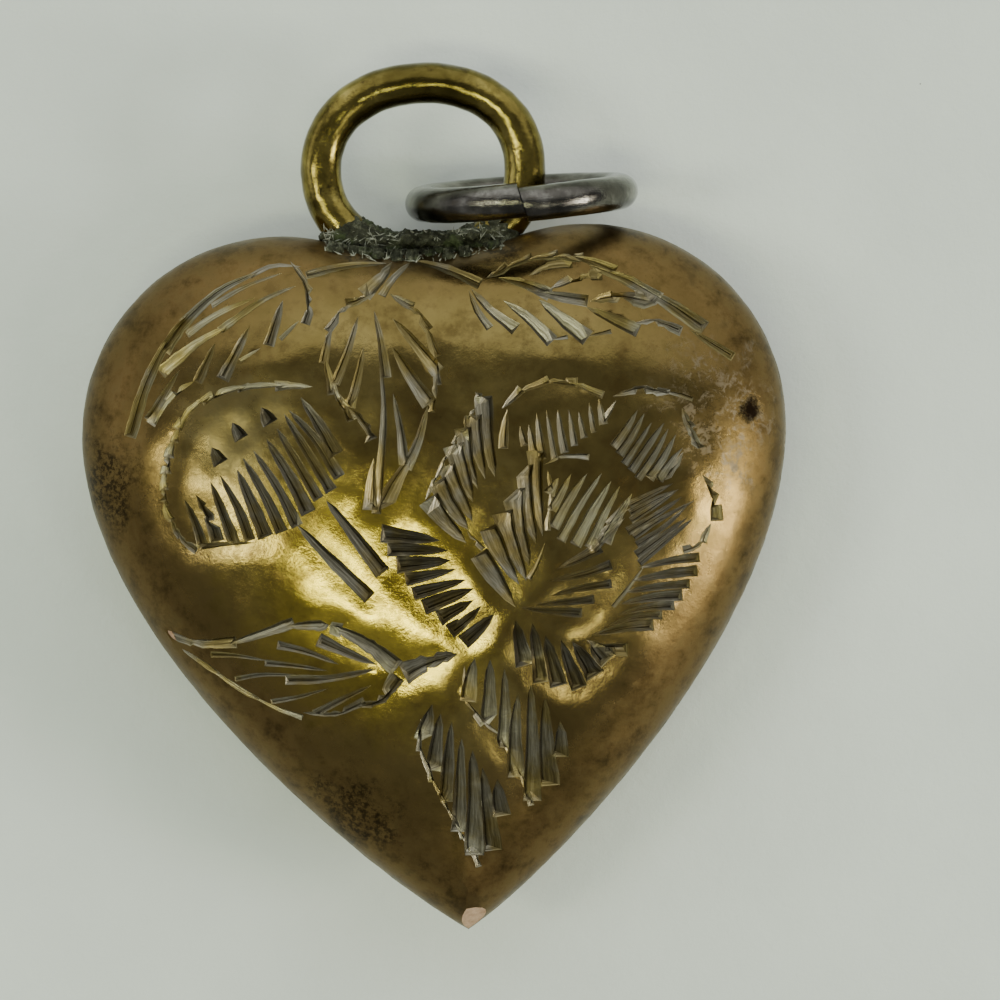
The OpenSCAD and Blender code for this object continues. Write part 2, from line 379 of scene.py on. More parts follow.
def lower_leaves():
    fan([(0.8, -4.05), (1.4, -4.4), (2.25, -5.2), (2.9, -5.7)],
        [(0.6, -5.25), (1.15, -5.9), (2.2, -7.9), (2.9, -6.75)], 7, 0.48, -0.6, 0.55, 0.0, 0.04)
    chain([(0.55, -4.3), (0.6, -5.3), (1.3, -6.1), (1.75, -6.9), (2.15, -7.95)], 5, 0.16, 0.4, -0.06)
    fan([(-0.3, -5.2), (0.15, -5.9), (0.95, -7.0), (1.25, -7.2)],
        [(-0.6, -6.15), (0.0, -8.0), (0.8, -9.45), (1.35, -8.2)], 7, 0.48, -0.6, 0.55, 0.0, 0.04)
    chain([(-0.6, -5.6), (-0.65, -6.4), (-0.2, -7.6), (0.35, -8.7), (0.75, -9.45)], 5, 0.16, 0.4, -0.06)


def groove(xy, skip):
    """Depth of the engraving at each point, in mm, and how near it is to the floor of its cut, from 0 to 1.
    skip holds, for a point drawn by a cut, that cut's number."""
    depth, nearness = np.zeros(len(xy)), np.zeros(len(xy))
    for number, c in enumerate(cuts):
        margin = c["half"].max()
        low, high = c["middle"].min(0) - margin, c["middle"].max(0) + margin
        near = np.flatnonzero(np.all((xy > low) & (xy < high), axis=1) & (skip != number))
        if not len(near):
            continue
        p = xy[near]
        best = np.full(len(near), np.inf)
        found, down = np.zeros(len(near)), np.zeros(len(near))
        run = len(c["middle"]) - 1
        for k in range(run):
            a, d = c["middle"][k], c["middle"][k + 1] - c["middle"][k]
            t = np.clip((p - a) @ d / (d @ d), 0, 1)
            away = p - (a + t[:, None] * d)
            distance = np.hypot(away[:, 0], away[:, 1])
            across = away @ ((c["left"][k] + c["left"][k + 1]) / 2)
            half = c["half"][k] * (1 - t) + c["half"][k + 1] * t + 1e-9
            floor = c["floor"][k] * (1 - t) + c["floor"][k + 1] * t
            middle = c["lean"] * half
            side = np.where(across > middle, half - middle, half + middle)
            value = np.clip(1 - np.abs(across - middle) / side, 0, 1)
            if k == run - 1:
                value *= np.clip((1 - t) * np.hypot(*d) / c["back"], 0, 1)
            value[np.abs(distance - np.abs(across)) > 1e-4] = 0
            closer = distance < best
            best[closer], down[closer] = distance[closer], value[closer]
            found[closer] = (floor * value)[closer]
        deeper = found > depth[near]
        depth[near[deeper]], nearness[near[deeper]] = found[deeper], down[deeper]
    return depth, nearness


# The most that the thin sheet gives way under the graver, how far from a cut it still gives, and how much
# width of cut nearby brings it most of the way
SAG, SAG_REACH, SAG_WIDTH = 0.06, 0.34, 0.35


def sag(xy):
    """How far the thin sheet has given way round the cuts, in mm."""
    if not cuts:
        return np.zeros(len(xy))
    spots = np.vstack([c["middle"] for c in cuts])
    weight = np.concatenate([c["half"] for c in cuts])
    total = np.zeros(len(xy))
    batch = 4000
    for first in range(0, len(xy), batch):
        part = slice(first, first + batch)
        away = ((xy[part, None, :] - spots[None]) ** 2).sum(2)
        total[part] = (np.exp(-away / SAG_REACH ** 2) * weight).sum(1)
    return SAG * (1 - np.exp(-total / SAG_WIDTH))


def engraved_face():
    """Points of the engraved face in plan, their depths, nearness to a cut's floor and soot, its triangles,
    whose edges follow every cut, and the numbers of the points on its edge."""
    rim = loop(FACE_EDGE)
    points, own, drawn = [rim], [np.full(len(rim), -1)], [np.zeros(len(rim))]
    edges = [(i, (i + 1) % len(rim)) for i in range(len(rim))]
    total = len(rim)
    for number, c in enumerate(cuts):
        last = len(c["middle"]) - 1
        offset = c["left"] * c["half"][:, None]
        floor = c["middle"] + offset * c["lean"]
        floor[-1] = c["end"] + offset[-1] * c["lean"]
        points.append(np.vstack([c["middle"][:1], (c["middle"] + offset)[1:], (c["middle"] - offset)[1:],
                                 floor[1:]]))
        drawn.append(np.concatenate([np.zeros(2 * last + 1), c["floor"][1:]]))
        own.append(np.full(3 * last + 1, number))
        for row in range(3):
            first = total + 1 + row * last
            edges += [(total, first)] + [(first + i, first + i + 1) for i in range(last - 1)]
        edges.append((total + last, total + 2 * last))
        total += 3 * last + 1
    points, own, drawn = np.vstack(points), np.concatenate(own), np.concatenate(drawn)

    low, high = rim.min(0), rim.max(0)
    rows = [(x + GRID / 2 * (j % 2), y) for j, y in enumerate(np.arange(low[1], high[1], GRID * 0.87))
            for x in np.arange(low[0], high[0], GRID)]
    grid = np.array(rows) + np.array([(jitter(0.02), jitter(0.02)) for _ in rows])
    grid = grid[rim_share(grid) < FACE_EDGE - 0.012]
    grid = grid[groove(grid, np.full(len(grid), -1))[0] < 1e-6]
    nearest = np.full(len(grid), np.inf)
    for spot in points[len(rim):]:
        close = np.flatnonzero(np.abs(grid[:, 0] - spot[0]) < 0.1)
        nearest[close] = np.minimum(nearest[close], np.hypot(*(grid[close] - spot).T))
    grid = grid[nearest > 0.05]

    verts, _, faces, sources, _, _ = delaunay_2d_cdt(
        [Vector(p) for p in np.vstack([points, grid])], edges, [list(range(len(rim)))], 1, 1e-5)
    xy = np.array(verts)
    skip = np.full(len(xy), -1)
    depth, nearness, soot = np.zeros(len(xy)), np.zeros(len(xy)), np.zeros(len(xy))
    rim_index = [0] * len(rim)
    for i, merged in enumerate(sources):
        for source in merged:
            if source < len(rim):
                rim_index[source] = i
            elif source < len(points):
                skip[i] = own[source]
                depth[i] = max(depth[i], drawn[source])
                nearness[i] = float(depth[i] > 0)
                soot[i] = max(soot[i], cuts[own[source]]["soot"])
    crossing, other = groove(xy, skip)
    deeper = crossing > depth
    depth[deeper], nearness[deeper] = crossing[deeper], other[deeper]
    return xy, depth, nearness, soot, faces, rim_index


# ------------ meshes

def make_object(name, verts_mm, faces, materials, face_material=None, attributes=None, sharp=None):
    """A mesh object from points in mm, with point attributes and edges sharp above an angle in degrees."""
    mesh = bpy.data.meshes.new(name)
    mesh.from_pydata([tuple(v) for v in np.asarray(verts_mm) * MM], [], [list(f) for f in faces])
    for material in materials:
        mesh.materials.append(material)
    if face_material is not None:
        mesh.polygons.foreach_set("material_index", face_material)
    for attribute, values in (attributes or {}).items():
        layer = mesh.attributes.new(attribute, "FLOAT", "POINT")
        layer.data.foreach_set("value", np.asarray(values, np.float32))
    mesh.polygons.foreach_set("use_smooth", [True] * len(mesh.polygons))
    mesh.update()
    if sharp:
        mesh.set_sharp_from_angle(angle=math.radians(sharp))
    obj = bpy.data.objects.new(name, mesh)
    bpy.context.scene.collection.objects.link(obj)
    return obj


def ring_faces(a, b):
    """Quads between two closed rings of point numbers."""
    n = len(a)
    return [(a[i], b[i], b[(i + 1) % n], a[(i + 1) % n]) for i in range(n)]


def shell(name, face, materials, up, seed):
    """A closed half shell: its outer face, rings down to the rim, and a plain inner dome.
    up is 1 for the front and -1 for the back."""
    xy, depth, nearness, soot, faces, rim = face
    s = rim_share(xy)
    step = 0.01
    slope = [(dome_height(rim_share(xy + d)) - dome_height(rim_share(xy - d))) / (2 * step)
             for d in (np.array([step, 0]), np.array([0, step]))]
    normal = np.column_stack([-slope[0], -slope[1], np.ones(len(xy))])
    normal /= np.linalg.norm(normal, axis=1)[:, None]
    outer = np.column_stack([xy, dome_height(s)])
    flat = 1 - smoothstep(0.8, 0.95, s)
    outer += normal * (dents(outer, SHEET_WAVES, seed) * flat - depth - sag(xy))[:, None]
    verts, share = [outer], [s]
    face_list = [tuple(f) for f in faces]
    in_cut = [int(max(depth[list(f)]) > 0.003) for f in faces]
    total = len(outer)
    previous = list(rim)
    phases = np.linspace(math.asin(FACE_EDGE), math.pi / 2, 9)[1:]
    inner = np.linspace(math.pi / 2, 0.1, 12)
    for phase, inset in [(p, 0) for p in phases] + [(p, WALL) for p in inner]:
        k = math.sin(phase)
        ring = loop(k, inset)
        height = dome_height(np.full(len(ring), k), DOME_H - inset)
        verts.append(np.column_stack([ring, height]))
        share.append(np.full(len(ring), k if inset == 0 else 1))
        current = list(range(total, total + len(ring)))
        face_list += ring_faces(previous, current)
        previous = current
        total += len(ring)
    face_list.append(tuple(previous[::-1]))
    in_cut += [0] * (len(face_list) - len(in_cut))
    verts = np.vstack(verts)
    verts[:, 2] = (SEAM_TOP if up > 0 else SEAM_BOTTOM) + up * verts[:, 2]
    if up < 0:
        verts[:, 2] = np.maximum(verts[:, 2], 0)
        face_list = [f[::-1] for f in face_list]
    plain = np.zeros(len(verts) - len(depth))
    return make_object(name, verts, face_list, materials, in_cut,
                       {"rim": np.concatenate(share), "floor": np.concatenate([nearness, plain]),
                        "soot": np.concatenate([soot, plain])}, 16)


def file_tip(obj, material_index):
    """Files a small flat on the right of the tip."""
    bm = bmesh.new()
    bm.from_mesh(obj.data)
    middle = Vector((0.5, -10.78, RIM_Z + 0.52)) * MM
    facing = Vector((0.28, -0.8, 0.53)).normalized()
    bmesh.ops.bisect_plane(bm, geom=bm.verts[:] + bm.edges[:] + bm.faces[:], plane_co=middle, plane_no=facing,
                           clear_outer=True)
    filled = bmesh.ops.holes_fill(bm, edges=[e for e in bm.edges if e.is_boundary])
    for f in filled["faces"]:
        f.material_index = material_index
        f.smooth = False
        for e in f.edges:
            e.smooth = False
    bm.to_mesh(obj.data)
    bm.free()


def sweep(name, centres, radii, materials, closed=True, sides=28, squash=None, sharp=None, wave=0.0):
    """A wire along the centres, its surface dented by up to wave mm. squash moves the finished points."""
    centres = np.asarray(centres, float)
    n = len(centres)
    if closed:
        heading = np.roll(centres, -1, axis=0) - np.roll(centres, 1, axis=0)
    else:
        heading = np.gradient(centres, axis=0)
    heading /= np.linalg.norm(heading, axis=1)[:, None]
    plane = np.cross(centres[n // 3] - centres[0], centres[2 * n // 3] - centres[0])
    plane /= np.linalg.norm(plane)
    out = np.cross(heading, plane)
    turn = np.arange(sides) * 2 * math.pi / sides
    verts = np.vstack([c + r * (np.cos(turn)[:, None] * o + np.sin(turn)[:, None] * plane)
                       for c, r, o in zip(centres, radii, out)])
    middle = np.repeat(centres, sides, axis=0)
    verts += (verts - middle) * (wave * dents(verts, WIRE_WAVES) / np.repeat(radii, sides))[:, None]
    if squash is not None:
        verts = squash(verts)
    rings = [list(range(i * sides, (i + 1) * sides)) for i in range(n)]
    faces = []
    for i in range(n if closed else n - 1):
        faces += ring_faces(rings[i], rings[(i + 1) % n])
    if not closed:
        faces += [tuple(rings[0]), tuple(rings[-1][::-1])]
    obj = make_object(name, verts, faces, materials, sharp=sharp)
    fix_normals(obj)
    return obj


def fix_normals(obj):
    bm = bmesh.new()
    bm.from_mesh(obj.data)
    bmesh.ops.recalc_face_normals(bm, faces=bm.faces[:])
    bm.to_mesh(obj.data)
    bm.free()


def seam_bead(material):
    """The line of solder between the rims, standing a hair proud and uneven."""
    sides = 10
    half = (SEAM_TOP - SEAM_BOTTOM) / 2
    outer = loop(1)
    ray = outer - CROWN
    away = ray / np.hypot(*ray.T)[:, None]
    rings = []
    for k in range(sides):
        a = -math.pi / 2 + math.pi * k / (sides - 1)
        wave = np.array([0.022 + 0.016 * noise.noise(Vector((x, y, k * 0.3)) / 0.5) for x, y in outer])
        ring = outer + away * (wave * math.cos(a))[:, None]
        rings.append(np.column_stack([ring, np.full(len(ring), RIM_Z + half * math.sin(a))]))
    inside = loop(1, WALL)
    rings += [np.column_stack([inside, np.full(len(inside), z)]) for z in (SEAM_TOP, SEAM_BOTTOM)]
    n = len(outer)
    numbers = [list(range(k * n, (k + 1) * n)) for k in range(len(rings))]
    faces = []
    for k in range(len(rings)):
        faces += ring_faces(numbers[k], numbers[(k + 1) % len(rings)])
    obj = make_object("seam_bead", np.vstack(rings), faces, [material], sharp=40)
    fix_normals(obj)
    return obj


# ------------ bail, solder and jump ring, in mm

bail_low, bail_high = node_box("bail_ring")
BAIL_WIRE = bail_high[2] - bail_low[2]
BAIL_W = bail_high[0] - bail_low[0]
# The CAD's bail is shorter than this, because its foot is filed to fit the hollow
BAIL_H = 5.5
BAIL_CENTRE = np.array([0, bail_high[1] - BAIL_H / 2, RIM_Z])
SEAT_R = CLEFT_R - 0.03
# How far below the face the solder may dip before it is kept in the hollow
SOLDER_DIP = 0.22
RING_OD, RING_WIRE = 6, 0.9
RING_YAW, RING_LEAN = math.radians(1.3), math.radians(6)


def hollow_y(x, radius=CLEFT_R):
    """The rim's y in the hollow between the lobes."""
    return CLEFT_CENTRE_Y - math.sqrt(radius ** 2 - x * x)


def face_z(xy):
    """Heights of the plain face above the paper."""
    return SEAM_TOP + dome_height(rim_share(np.array(xy)))


def above_hollow(verts):
    """Keeps points out of the hollow's rim, where the bail's foot is filed to fit."""
    ray = verts[:, :2] - np.array([0, CLEFT_CENTRE_Y])
    distance = np.hypot(*ray.T)
    outside = distance > SEAT_R
    verts[outside, :2] = np.array([0, CLEFT_CENTRE_Y]) + ray[outside] / distance[outside, None] * SEAT_R
    return verts


def above_heart(verts):
    """Keeps points out of the hollow's rim, apart from those on the face above it or just under it."""
    inside = verts[:, 2] < face_z(verts[:, :2]) - SOLDER_DIP
    verts[inside] = above_hollow(verts[inside])
    return verts


def bail_line(a):
    """A point on the middle line of the bail's wire."""
    power = 2 / 2.15
    c, s = math.cos(a), math.sin(a)
    return BAIL_CENTRE + np.array([
        math.copysign(abs(c) ** power, c) * (BAIL_W - BAIL_WIRE) / 2,
        math.copysign(abs(s) ** power, s) * (BAIL_H - BAIL_WIRE) / 2, 0])


def bail(material):
    turns = np.linspace(0, 2 * math.pi, 260, endpoint=False)
    radii = [BAIL_WIRE / 2 * (0.985 + 0.02 * noise.noise(Vector((math.cos(a), math.sin(a), 3)) * 1.6))
             for a in turns]
    return sweep("bail_wire", [bail_line(a) for a in turns], radii, [material], squash=above_hollow, sides=48,
                 wave=0.02)


def blob(bm, centre, size, stretch):
    made = bmesh.ops.create_icosphere(bm, subdivisions=3, radius=1)
    bmesh.ops.scale(bm, vec=Vector(stretch) * size, verts=made["verts"])
    bmesh.ops.translate(bm, vec=Vector(centre), verts=made["verts"])


def fuse(bm, voxel):
    """Points, normals and faces of one closed mesh fused from overlapping blobs, in mm."""
    mesh = bpy.data.meshes.new("blobs")
    bm.to_mesh(mesh)
    bm.free()
    obj = bpy.data.objects.new("blobs", mesh)
    bpy.context.scene.collection.objects.link(obj)
    remesh = obj.modifiers.new("fuse", "REMESH")
    remesh.mode = "VOXEL"
    remesh.voxel_size = voxel
    bpy.context.view_layer.update()
    fused = bpy.data.meshes.new_from_object(obj.evaluated_get(bpy.context.evaluated_depsgraph_get()))
    verts = np.array([v.co for v in fused.vertices])
    normals = np.array([v.normal for v in fused.vertices])
    faces = [tuple(p.vertices) for p in fused.polygons]
    bpy.data.objects.remove(obj)
    return verts, normals, faces


def solder_lump(material):
    """Rough solder: run into the hollow, crept on to the heart's edge, and wrapped round the bail's foot."""
    bm = bmesh.new()
    run, crept, wrapped = 30, 46, 14
    for k in range(run):
        x = -2.55 + 4.7 * k / (run - 1)
        y = hollow_y(x, SEAT_R) + 0.2
        fill = math.sin(math.pi * (k + 1.5) / (run + 2)) ** 0.5
        tall = (0.3 + 0.12 * rng.random()) * fill
        blob(bm, (x, y - 0.08 + 0.1 * fill + jitter(0.04), RIM_Z + 0.05 + jitter(0.06)), tall, (1, 0.7, 1.75))
    for _ in range(crept):
        x = rng.uniform(-2.5, 1.9)
        y = hollow_y(x) - 0.24 * rng.random() ** 1.5
        z = face_z([[x, y]])[0]
        blob(bm, (x, y, z - 0.04), rng.uniform(0.05, 0.13),
             (rng.uniform(0.8, 1.5), rng.uniform(0.7, 1.2), 0.7))
    for k in range(wrapped):
        a = math.radians(222 + 7 * k)
        x, y, z = bail_line(a)
        blob(bm, (x + jitter(0.05), y - 0.1 + jitter(0.05), z), BAIL_WIRE / 2 + 0.05, (1, 1, 1.02))
    verts, normals, faces = fuse(bm, 0.035)
    rough = np.array([0.05 * noise.noise(Vector(v) / 0.35) + 0.09 * abs(noise.noise(Vector(v) / 0.17))
                      + 0.05 * abs(noise.noise(Vector(v) / 0.08)) for v in verts])
    verts = verts + normals * rough[:, None]
    return make_object("solder_lump", above_heart(verts), faces, [material])


def solder_flakes(material):
    """Pale needles and flakes of flux on the solder and on the edge of the heart below it."""
    verts, faces = [], []
    for number in range(420):
        x = rng.uniform(-2.6, 2.0)
        edge = hollow_y(x)
        if number % 2:
            y = edge + rng.uniform(0.06, 0.5)
            z = RIM_Z + 0.62 - 0.5 * abs(y - 6.55) + jitter(0.06)
        else:
            y = edge - 0.28 * rng.random() ** 2
            z = face_z([[x, y]])[0] + 0.01
        long, wide = rng.uniform(0.05, 0.2), rng.uniform(0.01, 0.024)
        a, tilt = rng.uniform(0, math.pi), jitter(0.5)
        along = np.array([math.cos(a) * math.cos(tilt), math.sin(a) * math.cos(tilt), math.sin(tilt)]) * long
        across = np.array([-math.sin(a), math.cos(a), 0]) * wide
        up = np.array([0, 0, wide])
        centre = np.array([x, y, z])
        n = len(verts)
        verts += [centre - along, centre + across, centre + along, centre - across, centre + up, centre - up]
        faces += [(n + i, n + (i + 1) % 4, n + 4) for i in range(4)]
        faces += [(n + (i + 1) % 4, n + i, n + 5) for i in range(4)]
    obj = make_object("solder_flakes", verts, faces, [material], sharp=20)
    fix_normals(obj)
    return obj


def jump_ring(material):
    """The loose ring, a full turn of wire cut across at the top, its ends a little out of line."""
    low, high = node_box("jump_ring")
    bend_r = (RING_OD - RING_WIRE) / 2
    centre = Vector(((low[0] + high[0]) / 2, (low[1] + high[1]) / 2, (low[2] + high[2]) / 2))
    pose = (Matrix.Translation(centre) @ Matrix.Rotation(RING_YAW, 4, "Z")
            @ Matrix.Rotation(math.pi / 2 + RING_LEAN, 4, "X"))
    opening = math.radians(0.7)
    turns = np.linspace(math.pi / 2 + opening / 2, math.pi * 2.5 - opening / 2, 150)
    middle = (turns[0] + turns[-1]) / 2
    centres, radii = [], []
    for a in turns:
        share = (a - middle) / (turns[-1] - middle)
        shift = 0.05 * share * smoothstep(0.75, 1, abs(share))
        centres.append(pose @ Vector((bend_r * math.cos(a), bend_r * math.sin(a), shift)))
        radii.append(RING_WIRE / 2 * (1 - 0.03 * smoothstep(0.99, 1, abs(share))))
    sides = 32
    run, axis = (np.array(pose.to_3x3() @ Vector(way)) for way in ((1, 0, 0), (0, 0, 1)))

    def slant(verts):
        """The cutter's bite, not quite square across the wire: both ends slope the same way."""
        for centre, end in ((centres[0], slice(0, sides)), (centres[-1], slice(-sides, None))):
            verts[end] += np.outer((verts[end] - np.array(centre)) @ axis, 0.25 * run)
        return verts

    return sweep("split_jump_ring", [tuple(c) for c in centres], radii, [material], closed=False, sides=sides,
                 squash=slant, sharp=35, wave=0.01)


# ------------ materials

def rgb(text):
    """A colour written as on screen, for a shader."""
    parts = [int(text[i:i + 2], 16) / 255 for i in (0, 2, 4)]
    return tuple(p / 12.92 if p <= 0.04045 else ((p + 0.055) / 1.055) ** 2.4 for p in parts) + (1,)


class Shader:
    """One node material. Inputs are numbers, colours as text or other nodes' outputs; lengths are in mm."""

    def __init__(self, name):
        self.material = bpy.data.materials.new(name)
        self.material.use_nodes = True
        self.tree = self.material.node_tree
        self.surface = self.tree.nodes["Principled BSDF"]
        metres = self.tree.nodes.new("ShaderNodeTexCoord").outputs["Object"]
        self.mm = self.node("ShaderNodeMapping", {"Vector": metres, "Scale": (1 / MM,) * 3}).outputs[0]

    def put(self, socket, value):
        if isinstance(value, bpy.types.NodeSocket):
            self.tree.links.new(value, socket)
        else:
            socket.default_value = rgb(value) if isinstance(value, str) else value

    def node(self, kind, inputs, **settings):
        made = self.tree.nodes.new(kind)
        for key, value in settings.items():
            setattr(made, key, value)
        for key, value in inputs.items():
            self.put(made.inputs[key], value)
        return made

    def noise(self, size, detail=5, rough=0.6, twist=0.0, at=None):
        return self.node("ShaderNodeTexNoise", {"Vector": at or self.mm, "Scale": 1 / size, "Detail": detail,
                                                "Roughness": rough, "Distortion": twist}).outputs[0]

    def stretched(self, x, y, z, turn=0.0):
        """Coordinates squeezed along each axis, to draw a noise out into streaks."""
        return self.node("ShaderNodeMapping", {"Vector": self.mm, "Scale": (x, y, z),
                                               "Rotation": (0, 0, math.radians(turn))}).outputs[0]

    def math(self, operation, a, b=0.0):
        return self.node("ShaderNodeMath", {0: a, 1: b}, operation=operation).outputs[0]

    def add(self, a, b):
        return self.math("ADD", a, b)

    def take(self, a, b):
        return self.math("SUBTRACT", a, b)

    def times(self, a, b):
        return self.math("MULTIPLY", a, b)

    def band(self, value, low, high, out_low=0.0, out_high=1.0):
        """value from low to high becomes out_low to out_high, smoothly."""
        return self.node("ShaderNodeMapRange", {"Value": value, "From Min": low, "From Max": high,
                                                "To Min": out_low, "To Max": out_high},
                         interpolation_type="SMOOTHSTEP").outputs[0]

    def mix(self, share, a, b):
        made = self.node("ShaderNodeMix", {}, data_type="RGBA")
        for socket, value in zip((made.inputs["Factor"], made.inputs[6], made.inputs[7]), (share, a, b)):
            self.put(socket, value)
        return made.outputs[2]

    def ramp(self, value, *stops):
        made = self.node("ShaderNodeValToRGB", {"Fac": value})
        ramp = made.color_ramp
        for element, (position, colour) in zip(ramp.elements, (stops[0], stops[-1])):
            element.position, element.color = position, rgb(colour)
        for position, colour in stops[1:-1]:
            ramp.elements.new(position).color = rgb(colour)
        return made.outputs[0]

    def attribute(self, name):
        return self.node("ShaderNodeAttribute", {}, attribute_name=name).outputs["Fac"]

    def spot(self, centre, radius, ragged=0.6):
        """1 near a place on the object and 0 beyond the radius, with a ragged edge."""
        away = self.node("ShaderNodeVectorMath", {0: self.mm, 1: centre}, operation="DISTANCE")
        torn = self.take(self.noise(radius / 2, 6, 0.7), 0.5)
        torn = self.times(torn, ragged * radius * 3)
        return self.band(self.add(away.outputs["Value"], torn), radius * 0.35, radius, 1, 0)

    def finish(self, colour, rough, height, strength, distance_mm, metallic=1.0):
        """Joins up the surface, with its height as bumps of that strength and distance."""
        bump = self.node("ShaderNodeBump", {"Height": height, "Strength": strength,
                                            "Distance": distance_mm * MM}).outputs[0]
        for key, value in (("Base Color", colour), ("Roughness", rough), ("Metallic", metallic),
                           ("Normal", bump)):
            self.put(self.surface.inputs[key], value)
        return self.material


def scratches(shader):
    """Thin crossing scratches, as a height from 0 to 1."""
    lines = 0.0
    for turn, density in [(20, 5.0), (-50, 4.0), (75, 6.0)]:
        streak = shader.noise(1.0, 2, 0.5, 0.3, shader.stretched(density, 0.25, density, turn))
        lines = shader.add(lines, shader.band(streak, 0.74, 0.77))
    return lines


def engraved_brass():
    m = Shader("engraved_brass")
    rim = m.attribute("rim")
    cloud = m.noise(3.2, 6, 0.62, 0.4)
    mottle = m.noise(0.55, 6, 0.7)
    grain = m.noise(0.09, 4, 0.7)
    gold = m.ramp(cloud, (0.32, "5b4c2a"), (0.5, "736439"), (0.68, "8b7b4a"))
    # Brighter, yellower brass round the key light's highlight: less tarnish there, and partly a painted
    # highlight colour.
    polish_and_highlight = m.spot((-1.8, -2.4, 6.2), 4.4, 0.3)
    gold = m.mix(m.times(polish_and_highlight, 0.85), gold,
                 m.ramp(cloud, (0.3, "7a6826"), (0.7, "a08c34")))
    brown = m.ramp(mottle, (0.3, "41331b"), (0.5, "665231"), (0.7, "847048"))
    toward_rim = m.add(rim, m.times(m.take(cloud, 0.5), 0.45))
    colour = m.mix(m.band(toward_rim, 0.62, 1.0), gold, brown)
    colour = m.mix(m.band(mottle, 0.44, 0.7, 0, 0.55), colour, "43341a")
    colour = m.mix(m.band(grain, 0.62, 0.74, 0, 0.5), colour, "2e220e")
    dark_rim = m.times(m.band(rim, 0.86, 0.99), m.band(m.noise(0.9, 6, 0.7), 0.5, 0.66))
    colour = m.mix(m.times(dark_rim, 0.4), colour, "1a150e")
    specks = m.band(m.noise(0.16, 6, 0.8), 0.44, 0.56)
    # Dark tarnish spots on the left rim, near the tip and beside the solder; the spot at (1.9, 6.1), on the
    # top rim under the jump ring, is painted shadow of the ring.
    for centre, radius, share in [((-8.3, 0.6, 4.2), 1.6, 0.8), ((-2.4, -8.1, 4.6), 1.5, 0.75),
                                  ((1.9, 6.1, 4.4), 0.9, 0.7), ((-1.2, 6.2, 4.0), 1.3, 0.7)]:
        stain_and_ring_shadow = m.times(m.times(m.spot(centre, radius, 0.8), share), specks)
        colour = m.mix(stain_and_ring_shadow, colour, "18130b")
    scuff = m.times(m.spot((7.2, 2.0, 5.0), 2.1, 0.9), m.band(m.noise(0.3, 6, 0.75, 0.6), 0.48, 0.62))
    colour = m.mix(m.times(scuff, 0.45), colour, "857c6c")
    # A matt, hazy patch over the bud, whose colour is darkened as painted shade to hold down the window
    # lamp's highlight there.
    matt_patch_and_shade = m.times(m.spot((-5.0, 2.0, 5.7), 2.0, 0.5), m.band(mottle, 0.3, 0.6, 0.6, 1.0))
    colour = m.mix(m.times(matt_patch_and_shade, 0.65), colour, "504a34")
    pit = m.spot((8.05, 1.85, 4.6), 0.42, 0.6)
    colour = m.mix(pit, colour, "171009")
    haze = m.band(m.noise(1.7, 5, 0.65), 0.35, 0.7, 0.12, 0.24)
    haze = m.take(haze, m.times(polish_and_highlight, 0.03))
    rough = m.add(haze, m.band(rim, 0.75, 1.0, 0, 0.26))
    rough = m.add(rough, m.times(scuff, 0.15))
    rough = m.add(rough, m.times(matt_patch_and_shade, 0.16))
    rough = m.add(rough, m.band(mottle, 0.5, 0.7, 0, 0.1))
    lines = scratches(m)
    height = m.add(m.times(grain, 0.12), m.times(mottle, 0.9))
    height = m.take(height, m.times(lines, 0.15))
    height = m.take(height, m.times(pit, 2.5))
    return m.finish(colour, rough, height, 0.5, 0.02)


def cut_metal():
    """The faces left by the graver: part brass, part greyed, striped along the push, and darker along the
    floor of each cut."""
    m = Shader("cut_metal")
    floor_share = m.attribute("floor")
    mottle = m.noise(0.5, 5, 0.65)
    grain = m.noise(0.07, 4, 0.7)
    x, y, _ = m.node("ShaderNodeSeparateXYZ", {"Vector": m.mm}).outputs
    along = m.node("ShaderNodeCombineXYZ", {"X": m.times(floor_share, 4.5),
                                            "Y": m.times(x, 0.8),
                                            "Z": m.times(y, 0.8)}).outputs[0]
    stripe = m.noise(1.0, 4, 0.7, 0.0, along)
    grey = m.ramp(stripe, (0.3, "4a473b"), (0.5, "7d7868"), (0.68, "a7a291"))
    gold = m.ramp(stripe, (0.3, "4a4026"), (0.5, "786b42"), (0.68, "a19264"))
    colour = m.mix(m.band(m.noise(1.6, 4, 0.6), 0.4, 0.6), gold, grey)
    colour = m.mix(m.times(m.attribute("soot"), m.band(stripe, 0.35, 0.65, 1.0, 0.75)), colour, "231f17")
    # Darker towards the floor of each cut.
    colour = m.mix(m.band(floor_share, 0.84, 1.0, 0, 0.8), colour, "17130c")
    colour = m.mix(m.band(grain, 0.6, 0.75, 0, 0.3), colour, "2a2516")
    height = m.add(m.times(stripe, 1.6), m.add(grain, mottle))
    return m.finish(colour, m.band(stripe, 0.3, 0.7, 0.46, 0.3), height, 0.5, 0.012)


def bare_copper():
    m = Shader("bare_copper")
    mottle = m.noise(0.2, 6, 0.7)
    colour = m.ramp(mottle, (0.3, "a87f63"), (0.7, "d9b79d"))
    return m.finish(colour, m.band(mottle, 0.3, 0.7, 0.35, 0.5), mottle, 0.5, 0.01)


